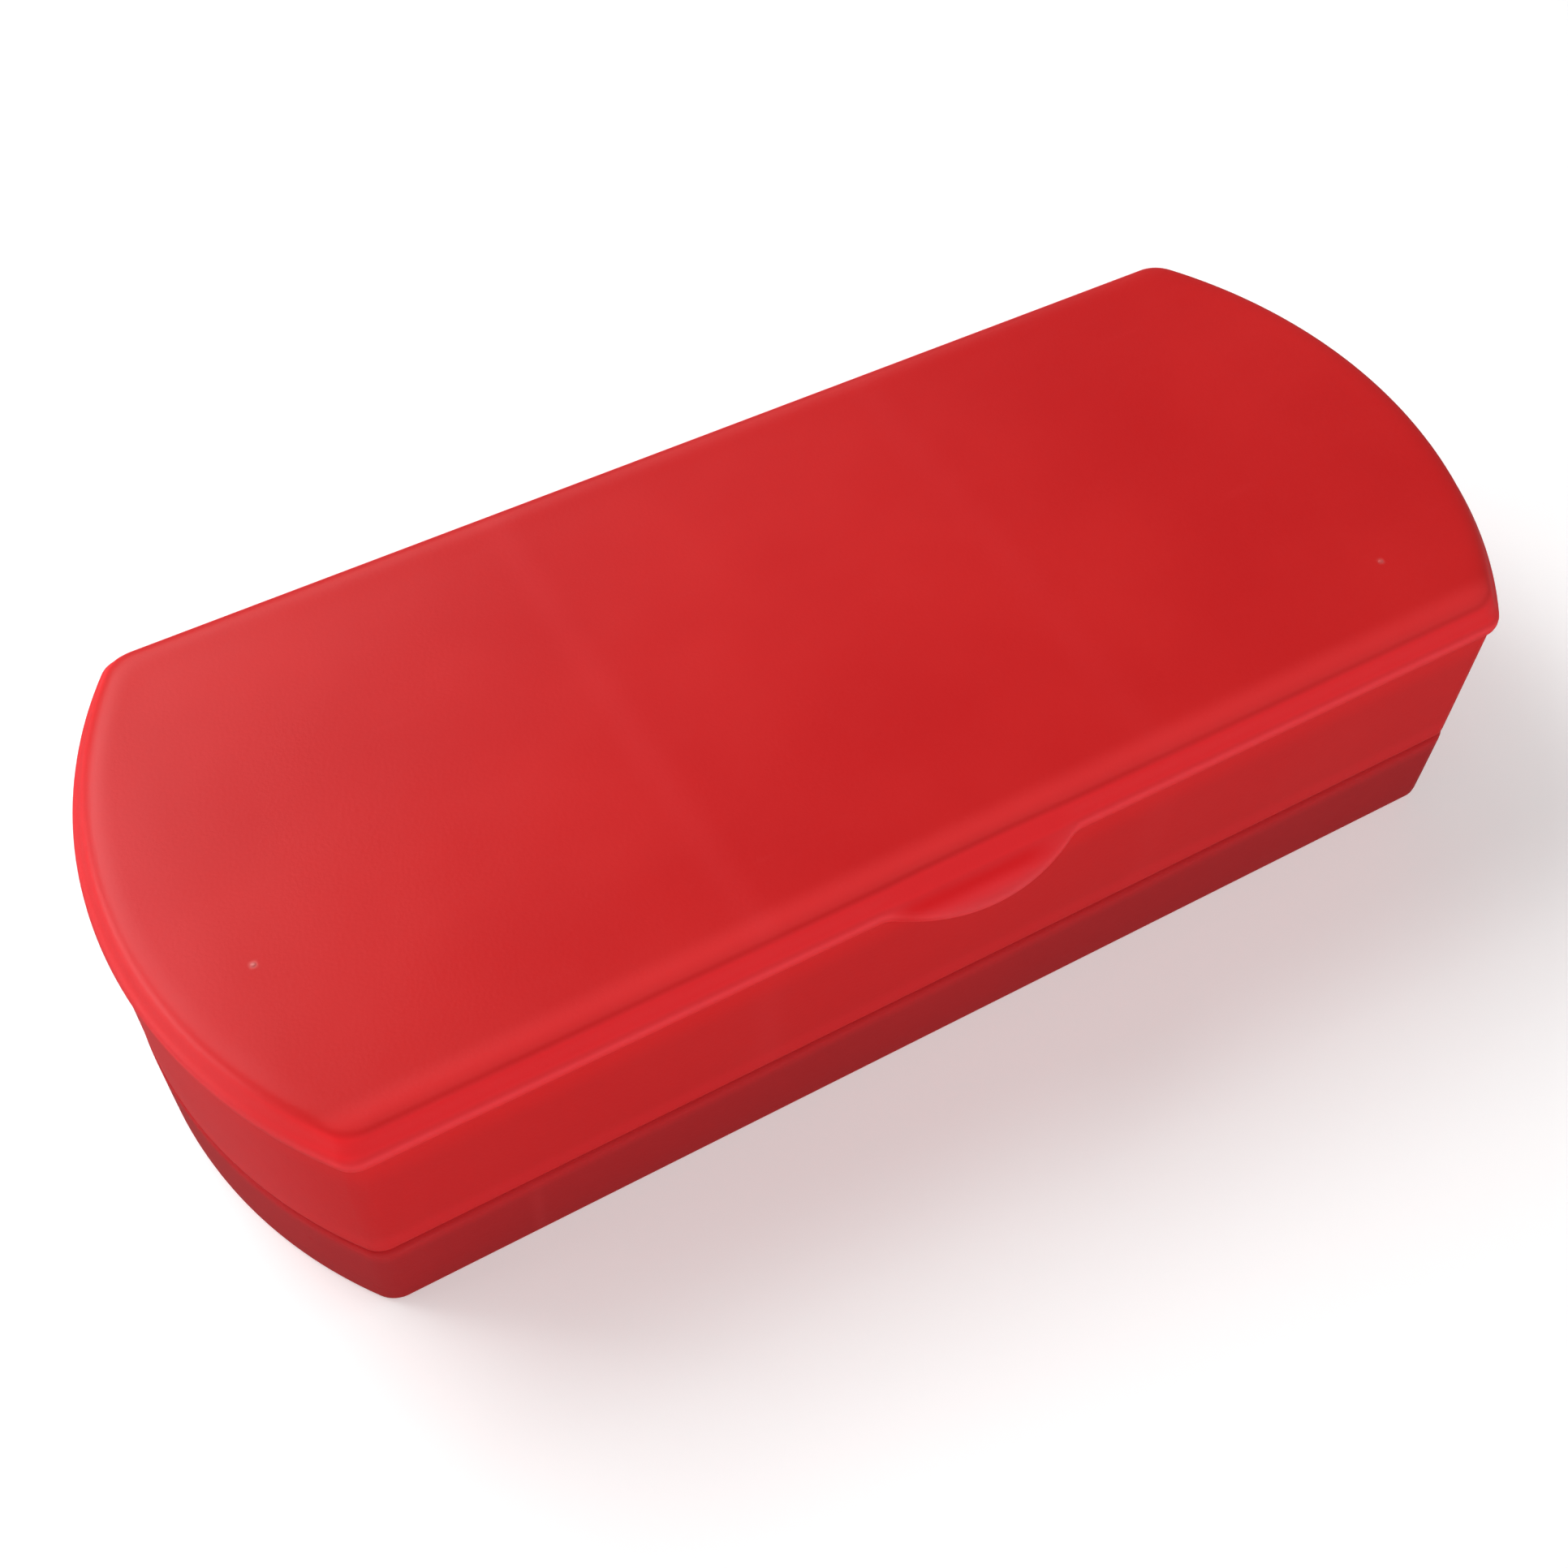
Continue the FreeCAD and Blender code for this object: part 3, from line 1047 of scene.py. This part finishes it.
@dataclass
class Lid(Shell):
    """The deep lid: skirt, rim bead with thumb tab, sloping shoulder and raised panel. In millimetres.

    Attributes:
        top, low: Heights of the panel and of the skirt's lower edge.
        wall, outside: The skirt's thickness, and its distance in from the rim bead.
        ceiling: Height of the panel's inside.
        crown: How much the panel's rim is lower than its middle.
        panel_inset, panel_corner: The panel's distance in from the rim bead, and its corner radius.
        slot: The record's material slot.
        pip_size, pip_z: A pip's half sizes and the height of its middle.
    """

    is_lid: bool = True
    top: float = 26.1
    low: float = 9.1
    wall: float = 1.17
    outside: float = 0.33
    ceiling: float = 24.7
    crown: float = 0.10
    panel_inset: float = 3.4
    panel_corner: float = 3.8
    slot: str = "lid_plastic"
    pip_size: tuple[float, float, float] = (0.24, 0.20, 0.11)
    pip_z: float = 25.985

    def section(self) -> list[Row]:
        """The lid's outside, from the skirt's lower edge up to the panel's rim."""
        out = self.outside
        low = self.low
        skirt = [
            Row(out + 0.30, low),
            Row(out + 0.12, low + 0.05),
            Row(out + 0.03, low + 0.15),
            Row(out, low + 0.32),
        ]
        skirt += [Row(out, z) for z in (9.7, 10.0, 10.3, 10.6, 11.05, 12.5, 15.0, 18.0, 21.0, 21.8)]
        bead = [
            Row(out, 22.25, 2.2, 0.00, 0.25),
            Row(out - 0.01, 22.58, 2.2, 0.05, 0.42),
            Row(out - 0.05, 22.76, 2.2, 0.30, 0.28),
            Row(out - 0.12, 22.87, 2.2, 0.72, 0.08),
            Row(0.12, 22.98, 2.2, 0.93, 0.02),
            Row(0.04, 23.16, 2.2, 0.99),
            Row(0.00, 23.46, 2.2, 1.00),
            Row(0.03, 23.80, 2.2, 0.98, 0.02),
            Row(0.11, 24.05, 2.2, 0.93, 0.05),
            Row(0.23, 24.20, 2.3, 0.85, 0.09),
            Row(0.37, 24.35, 2.3, 0.73, 0.15),
            Row(0.51, 24.53, 2.4, 0.58, 0.24),
            Row(0.64, 24.73, 2.4, 0.43, 0.32),
            Row(0.77, 24.95, 2.5, 0.29, 0.36),
            Row(0.90, 25.18, 2.6, 0.17, 0.34),
        ]
        shoulder = [
            Row(1.03, 25.36, 2.8, 0.08, 0.26),
            Row(1.17, 25.53, 3.0, 0.03, 0.16),
            Row(1.35, 25.68, 3.2, 0.01, 0.08),
            Row(1.60, 25.81, 3.4, 0.00, 0.03),
            Row(1.92, 25.91, 3.6),
            Row(2.32, 25.97, 3.7),
            Row(2.85, 26.01, 3.8),
        ]
        return skirt + bead + shoulder

    def inner_rows(self) -> list[np.ndarray]:
        """The inside, from the middle of the ceiling out and down to the skirt's lower edge."""
        inner = self.outside + self.wall
        ring = self.plan.ring(inner + 1.0, self.ceiling, 2.4)
        rows = [self.plan.drawn_in(ring, amount, self.ceiling) for amount in (1.0, 0.6, 0.2)]
        rows += [
            self.row(Row(inner + 1.0, self.ceiling, 2.4)),
            self.row(Row(inner + 0.5, self.ceiling - 0.4, 1.9)),
            self.row(Row(inner + 0.12, self.ceiling - 1.0, 1.5)),
            self.row(Row(inner, self.ceiling - 1.6, 1.4)),
        ]
        rows += [self.row(Row(inner, z, 1.4)) for z in (18.0, 12.5, 10.0, self.low + 0.16)]
        rows.append(self.row(Row(inner - 0.10, self.low, 1.4)))
        return rows

    def pip(self, x: float, y: float) -> bmesh.types.BMesh:
        """A tiny moulding pip on the panel.

        Args:
            x, y: Where it stands.

        Returns:
            A closed bmesh.
        """
        bm = bmesh.new()
        size = Matrix.Diagonal((*(half * MM for half in self.pip_size), 1.0))
        bmesh.ops.create_icosphere(bm, subdivisions=3, radius=1.0, matrix=size)
        bmesh.ops.translate(bm, verts=bm.verts, vec=Vector((x, y, self.pip_z)) * MM)
        return bm

    def build(self, row: KnuckleRow) -> bpy.types.Object:
        """Makes the lid as one closed moulding.

        Args:
            row: What repeats its knuckles.

        Returns:
            The object.
        """
        rows = self.inner_rows()
        rows += [self.row(spec) for spec in self.section()]
        rim = self.plan.ring(self.panel_inset, self.top, self.panel_corner)
        for amount in (0.0, 0.08, 0.2, 0.36, 0.55, 0.78, 1.0):
            height = self.top - self.crown * (1 - amount) ** 2
            rows.append(self.plan.drawn_in(rim, amount, height))
        parts = [MeshKit.sweep(rows), self.knuckles(row, "lid_knuckles")]
        parts += [self.pip(x, y) for x, y in PIPS]
        data = MeshKit.mesh("lid", *parts)
        return MeshKit.place(data, Finish.LID, LID_BODY, self.slot, ["lid_shell"])


@dataclass
class Base(Shell):
    """The shallow tray: recessed foot, wall, step, and the lip that the lid goes over. In millimetres.

    Attributes:
        outside, draft: The wall's distance in from the rim bead at its top, and how much more at its foot.
        top, floor: Heights of the step and of the tray's inside.
        lip_inset, lip_wall, lip_top: The lip's distance in from the rim bead, its thickness and height.
        recess: How far the middle of the underside stands off the ground.
        under_inset, under_corner: The recess's distance in from the rim bead, and its corner radius.
        slot: The record's material slot.
    """

    is_lid: bool = False
    outside: float = 0.25
    draft: float = 0.08
    top: float = 8.9
    floor: float = 1.6
    lip_inset: float = 1.80
    lip_wall: float = 0.85
    lip_top: float = 13.0
    recess: float = 0.35
    under_inset: float = 5.0
    under_corner: float = 2.6
    slot: str = "base_plastic"

    def section(self) -> list[Row]:
        """The tray's section from the foot's inner edge, round the outside and over the lip to the floor."""
        low = self.outside + self.draft
        out = self.outside
        top = self.top
        lip = self.lip_inset
        inner = lip + self.lip_wall
        foot = [
            Row(self.under_inset, self.recess, self.under_corner),
            Row(4.7, self.recess - 0.06, self.under_corner),
            Row(4.5, 0.05, self.under_corner),
            Row(4.3, 0.0, self.under_corner),
            Row(low + 0.50, 0.0, 2.2),
            Row(low + 0.27, 0.06, 2.3),
            Row(low + 0.12, 0.19, 2.3),
            Row(low + 0.03, 0.40, 2.4),
            Row(low, 0.70, 2.4),
        ]
        wall = [Row(low + (out - low) * z / 8.0, z, 2.4) for z in (3.0, 5.0, 6.6, 6.95, 7.25, 7.55, 7.85)]
        edge = [
            Row(out + 0.01, 8.20, 2.4),
            Row(out + 0.06, 8.46, 2.4),
            Row(out + 0.19, 8.69, 2.3),
            Row(out + 0.40, top - 0.06, 2.2),
            Row(out + 0.70, top, 2.1),
            Row(lip - 0.12, top, 1.7),
            Row(lip, top + 0.12, 1.6),
        ]
        ridge = [
            Row(lip, 11.0, 1.6),
            Row(lip, self.lip_top - 0.30, 1.6),
            Row(lip + 0.09, self.lip_top - 0.09, 1.6),
            Row(lip + 0.30, self.lip_top, 1.5),
            Row(inner - 0.25, self.lip_top, 1.3),
            Row(inner - 0.07, self.lip_top - 0.07, 1.2),
            Row(inner, self.lip_top - 0.25, 1.2),
            Row(inner, 8.0, 1.2),
            Row(inner, self.floor + 0.8, 1.2),
            Row(inner + 0.23, self.floor + 0.23, 1.2),
            Row(inner + 0.8, self.floor, 1.2),
        ]
        return foot + wall + edge + ridge

    def build(self, row: KnuckleRow) -> bpy.types.Object:
        """Makes the base as one closed moulding.

        Args:
            row: What repeats its knuckles.

        Returns:
            The object.
        """
        under = self.plan.ring(self.under_inset, self.recess, self.under_corner)
        deck = self.plan.ring(self.lip_inset + self.lip_wall + 0.8, self.floor, 1.2)
        rows = [self.plan.drawn_in(under, amount, self.recess) for amount in (1.0, 0.6, 0.25)]
        rows += [self.row(spec) for spec in self.section()]
        rows += [self.plan.drawn_in(deck, amount, self.floor) for amount in (0.15, 0.5, 1.0)]
        parts = [MeshKit.sweep(rows), self.knuckles(row, "base_knuckles")]
        data = MeshKit.mesh("base", *parts)
        return MeshKit.place(data, Finish.BASE, BASE_BODY, self.slot, ["base_shell"])


class BlockRule(Rule):
    """The rule that a pressed block of clay follows: a box with round edges and an uneven skin."""

    POINTS = {"Vertices X": 44, "Vertices Y": 56, "Vertices Z": 26}
    LUMPS_PER_METRE = 110.0

    def __init__(self, finish: Finish) -> None:
        """Builds the tree, with inputs for size, edge radius, unevenness and a seed.

        Args:
            finish: What the block is made in.
        """
        kinds = {"Size": "NodeSocketVector", "Centre": "NodeSocketVector", "Edge radius": "NodeSocketFloat",
                 "Unevenness": "NodeSocketFloat", "Seed": "NodeSocketFloat"}
        super().__init__("clay_block", kinds)
        _, size, centre, radius, uneven, seed = self.given
        box = self.add("GeometryNodeMeshCube", None, {"Size": size, **self.POINTS})
        here = self.add("GeometryNodeInputPosition")
        half = self._vector("SCALE", size, scale=0.5)
        rounds = self.add("ShaderNodeCombineXYZ", None, {0: radius, 1: radius, 2: radius})
        core = self._vector("SUBTRACT", half, rounds)
        low = self._vector("SCALE", core, scale=-1.0)
        inside = self._vector("MAXIMUM", self._vector("MINIMUM", here, core), low)
        outward = self._vector("NORMALIZE", self._vector("SUBTRACT", here, inside))
        skin = self._vector("ADD", inside, self._vector("SCALE", outward, scale=radius))
        inputs = {"Vector": here, "W": seed, "Scale": self.LUMPS_PER_METRE, "Detail": 2.0}
        lumps = self.add("ShaderNodeTexNoise", {"noise_dimensions": "4D"}, inputs)
        drop = (lumps - 1.0) * uneven
        uneven_skin = self._vector("ADD", skin, self._vector("SCALE", outward, scale=drop))
        moved = self.add("GeometryNodeSetPosition", None,
                         {0: box, "Position": self._vector("ADD", uneven_skin, centre)})
        self.close(moved, finish)

    def _vector(self, operation: str, first: Any, second: Any = None, scale: Any = None) -> Wire:
        """A Vector Math node.

        Args:
            operation: What it does.
            first, second: Its vectors.
            scale: Its factor.

        Returns:
            The resulting vector.
        """
        inputs = {0: first}
        if second is not None:
            inputs[1] = second
        if scale is not None:
            inputs["Scale"] = scale
        return self.add("ShaderNodeVectorMath", {"operation": operation}, inputs)

    def block(self, name: str, **values: Any) -> bpy.types.Mesh:
        """One block as a plain mesh.

        Args:
            name: The mesh's name.
            **values: The tree's inputs, with _ for each space.

        Returns:
            The mesh, in metres.
        """
        named = {key.replace("_", " "): value for key, value in values.items()}
        data = self.apply(bpy.data.meshes.new(name), named)
        bm = bmesh.new()
        bm.from_mesh(data)
        bmesh.ops.remove_doubles(bm, verts=bm.verts, dist=1e-6)
        bm.to_mesh(data)
        bm.free()
        data.name = name
        data.shade_smooth()
        return data


@dataclass
class WrappedClay:
    """Blocks of clay, each in a sleeve of clear film open at the front and the back. In millimetres.

    Attributes:
        sides: Which blocks there are.
        unevenness: How deep a block's skin dips.
        edge_radius: Radius of a block's edges.
        film: The film's thickness.
        stand_off: How much rounder the film's corners are than the block's.
        pull: How far the film is drawn in where it clings.
        ragged: How uneven the sleeve's ends are.
        rows, corner_steps: Points along a sleeve and round each of its corners.
    """

    sides: tuple[str, ...] = ("left", "middle", "right")
    unevenness: float = 0.35
    edge_radius: float = 2.4
    film: float = 0.09
    stand_off: float = 0.15
    pull: float = 0.03
    ragged: float = 0.5
    rows: int = 44
    corner_steps: int = 10

    def blocks(self) -> None:
        """Makes the clay blocks."""
        rule = BlockRule(Finish.CLAY)
        for index, side in enumerate(self.sides):
            node = "clay_bar_" + side
            low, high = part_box(node)
            data = rule.block(
                "block_" + side,
                Size=high - low,
                Centre=(high + low) / 2,
                Edge_radius=self.edge_radius * MM,
                Unevenness=self.unevenness * MM,
                Seed=3.7 * (index + 1),
            )
            MeshKit.place(data, Finish.CLAY, BASE_BODY, "clay", [node])

    def sleeve_rows(self, low: Vector, high: Vector, seed: float) -> list[np.ndarray]:
        """Rings of one sleeve's outside.

        Args:
            low, high: Its corners, in metres.
            seed: What sets its creases apart from the others'.

        Returns:
            The rings from front to back, in millimetres.
        """
        centre = (low + high) / 2 / MM
        half = (high - low) / 2 / MM
        radius = self.edge_radius + self.stand_off
        flat_x, flat_z = half.x - radius, half.z - radius
        corners = ((flat_x, flat_z), (-flat_x, flat_z), (-flat_x, -flat_z), (flat_x, -flat_z))
        section = []
        for corner, (cx, cz) in enumerate(corners):
            for step in range(self.corner_steps + 1):
                angle = math.pi / 2 * (corner + step / self.corner_steps)
                section.append((cx, cz, math.cos(angle), math.sin(angle)))
        rows = []
        for step in range(self.rows + 1):
            along = step / self.rows
            y = (low.y + (high.y - low.y) * along) / MM
            ragged = self.ragged if step in (0, self.rows) else 0.0
            ring = []
            for cx, cz, c, s in section:
                spot = Vector((cx * 0.16 + c, y * 0.09 + seed, cz * 0.16 + s))
                pull = self.pull * (noise.noise(spot) + 0.5 * noise.noise(spot * 2.7) - 1.0)
                shift = ragged * noise.noise(Vector((c * 2.2, s * 2.2, seed + along * 9)))
                x, z = cx + c * (radius + pull), cz + s * (radius + pull)
                ring.append((centre.x + x, y + shift, centre.z + z))
            rows.append(np.array(ring))
        return rows

    def sleeves(self) -> None:
        """Makes the film sleeves."""
        for index, side in enumerate(self.sides):
            node = "film_wrap_" + side
            low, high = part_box(node)
            outer = self.sleeve_rows(low, high, 5.3 * (index + 1))
            centre = (low + high) / 2 / MM
            inner = []
            for ring in outer:
                shrunk = ring.copy()
                for axis, middle, half in ((0, centre.x, (high.x - low.x) / 2 / MM),
                                           (2, centre.z, (high.z - low.z) / 2 / MM)):
                    shrunk[:, axis] = middle + (ring[:, axis] - middle) * (1 - self.film / half)
                inner.append(shrunk)
            bm = MeshKit.sweep(outer + inner[::-1] + outer[:1])
            bmesh.ops.recalc_face_normals(bm, faces=bm.faces)
            data = MeshKit.mesh("wrap_" + side, bm, sharp_deg=80)
            MeshKit.place(data, Finish.FILM, BASE_BODY, "film", [node])

    def build(self) -> None:
        """Makes the blocks and then their sleeves."""
        self.blocks()
        self.sleeves()


@dataclass
class HingePins:
    """The two wire pins, kept from the CAD frame and given their finish."""

    nodes: tuple[str, ...] = ("hinge_pin_left", "hinge_pin_right")

    def build(self) -> None:
        """Dresses the pins."""
        for name in self.nodes:
            slots = frame["nodes"][name].data.materials
            slots.clear()
            slots.append(Finish.PIN.material())
            log.info("%s: kept from the frame", name)


# --- Studio ---


def direction(azimuth: float, elevation: float) -> Vector:
    """The way from the object at those degrees; azimuth 0 is in front, and 90 on the right."""
    turn, rise = math.radians(azimuth), math.radians(elevation)
    return Vector((math.sin(turn) * math.cos(rise), -math.cos(turn) * math.cos(rise), math.sin(rise)))


@dataclass(frozen=True)
class Softbox:
    """A soft area light.

    Attributes:
        name: Its name.
        azimuth, elevation: Where it stands, in degrees.
        distance: How far off, in metres.
        size: Width and height, in metres.
        power: Watts.
        glossy: Whether it is seen in reflections, or only fills in.
    """

    name: str
    azimuth: float
    elevation: float
    distance: float
    size: tuple[float, float]
    power: float
    glossy: bool = False

    def build(self, target: Vector) -> None:
        """Hangs the light.

        Args:
            target: What it faces and is measured from.
        """
        data = bpy.data.lights.new(self.name, "AREA")
        data.shape = "RECTANGLE"
        data.size, data.size_y = self.size
        data.energy = self.power
        way = direction(self.azimuth, self.elevation)
        light = bpy.data.objects.new(self.name, data)
        light.visible_glossy = self.glossy
        light.location = target + way * self.distance
        light.rotation_euler = (-way).to_track_quat("-Z", "Y").to_euler()
        bpy.context.scene.collection.objects.link(light)


@dataclass(frozen=True)
class Studio:
    """Floor, lights and camera.

    Attributes:
        azimuth, elevation, roll: The camera's direction and tilt, in degrees.
        distance: From the camera to its target, in metres.
        target: What the camera looks at.
        lens, sensor: Focal length and sensor width, in millimetres.
        floor_half: Half the floor's width.
        surround: Strength of the even light all round.
    """

    azimuth: float = -32.0934
    elevation: float = 54.0774
    roll: float = 2.9719
    distance: float = 0.184374
    target: Vector = field(default_factory=lambda: Vector((0.00002, 0.003985, 0.0)))
    lens: float = 47.0148
    sensor: float = 36.0
    floor_half: float = 3.0
    surround: float = 0.12

    def camera(self) -> None:
        """Sets the camera up."""
        back = direction(self.azimuth, self.elevation)
        roll = math.radians(self.roll)
        right = (-back).cross(Vector((0, 0, 1))).normalized()
        up = right.cross(-back)
        x_axis = right * math.cos(roll) + up * math.sin(roll)
        y_axis = up * math.cos(roll) - right * math.sin(roll)
        data = bpy.data.cameras.new("camera")
        data.lens = self.lens
        data.sensor_width = self.sensor
        data.clip_start = 0.005
        camera = bpy.data.objects.new("camera", data)
        pose = Matrix((x_axis, y_axis, back)).transposed().to_4x4()
        pose.translation = self.target + back * self.distance
        camera.matrix_world = pose
        bpy.context.scene.collection.objects.link(camera)
        bpy.context.scene.camera = camera

    def floor(self) -> None:
        """Lays a pale floor just under the case."""
        bm = bmesh.new()
        bmesh.ops.create_grid(bm, x_segments=1, y_segments=1, size=self.floor_half)
        data = MeshKit.mesh("studio_floor", bm)
        data.materials.append(Finish.FLOOR.material())
        floor = bpy.data.objects.new("studio_floor", data)
        floor.visible_glossy = False
        bpy.context.scene.collection.objects.link(floor)

    def world(self) -> None:
        """A dim, even surround."""
        world = bpy.data.worlds.new("studio")
        world.use_nodes = True
        canvas = Canvas(world.node_tree)
        light = canvas.add("ShaderNodeBackground", None, {"Color": (1, 1, 1, 1), "Strength": self.surround})
        canvas.add("ShaderNodeOutputWorld", None, {"Surface": light})
        bpy.context.scene.world = world

    def lights(self) -> None:
        """Hangs the softboxes."""
        middle = Vector((0, 0, 0.015))
        boxes = (
            Softbox("key_back_left", -142.0, 50.0, 0.40, (0.26, 0.22), 0.38, glossy=True),
            Softbox("key_fill", -142.0, 50.0, 0.40, (0.26, 0.22), 0.74),
            Softbox("left_card", -112.0, 16.0, 0.40, (0.26, 0.16), 0.36, glossy=True),
            Softbox("front_fill", -10.0, 30.0, 0.80, (0.90, 0.40), 2.0),
            Softbox("right_fill", 62.0, 26.0, 0.80, (0.70, 0.40), 1.1),
            Softbox("back_card", 180.0, 30.0, 0.80, (0.90, 0.40), 0.85, glossy=True),
            Softbox("back_left_card", -165.0, 40.0, 0.60, (0.50, 0.20), 0.61, glossy=True),
        )
        for box in boxes:
            box.build(middle)

    def build(self) -> None:
        """Sets up the whole studio."""
        self.camera()
        self.floor()
        self.world()
        self.lights()
        view = bpy.context.scene.view_settings
        view.view_transform = "Standard"
        view.look = "None"


# --- From the frame ---


def hinge_from_frame() -> Hinge:
    """The hinge line, placed on the frame's joint."""
    joint = frame["joints"][0]
    _, y, z = joint["pos_m"]
    return Hinge(y=y / MM, z=z / MM)


def plan_from_frame(hinge: Hinge) -> CasePlan:
    """The plan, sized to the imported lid.

    Args:
        hinge: The hinge line.

    Returns:
        The plan.
    """
    low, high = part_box("lid_shell")
    ends = {x for lid in (True, False) for span in hinge.notches(lid) for x in span}
    return CasePlan(
        half_length=high.x / MM,
        tab_reach=-low.y / MM - CasePlan.half_width,
        breaks=tuple(sorted(ends)),
    )


def main() -> None:
    """Builds the looks on the frame, in order."""
    logging.basicConfig(level=logging.INFO, format="%(name)s %(message)s")
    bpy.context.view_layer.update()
    hinge = hinge_from_frame()
    plan = plan_from_frame(hinge)
    Lid(plan, hinge).build(KnuckleRow(Finish.LID))
    Base(plan, hinge).build(KnuckleRow(Finish.BASE))
    WrappedClay().build()
    HingePins().build()
    Studio().build()


if __name__ == "__main__":
    main()
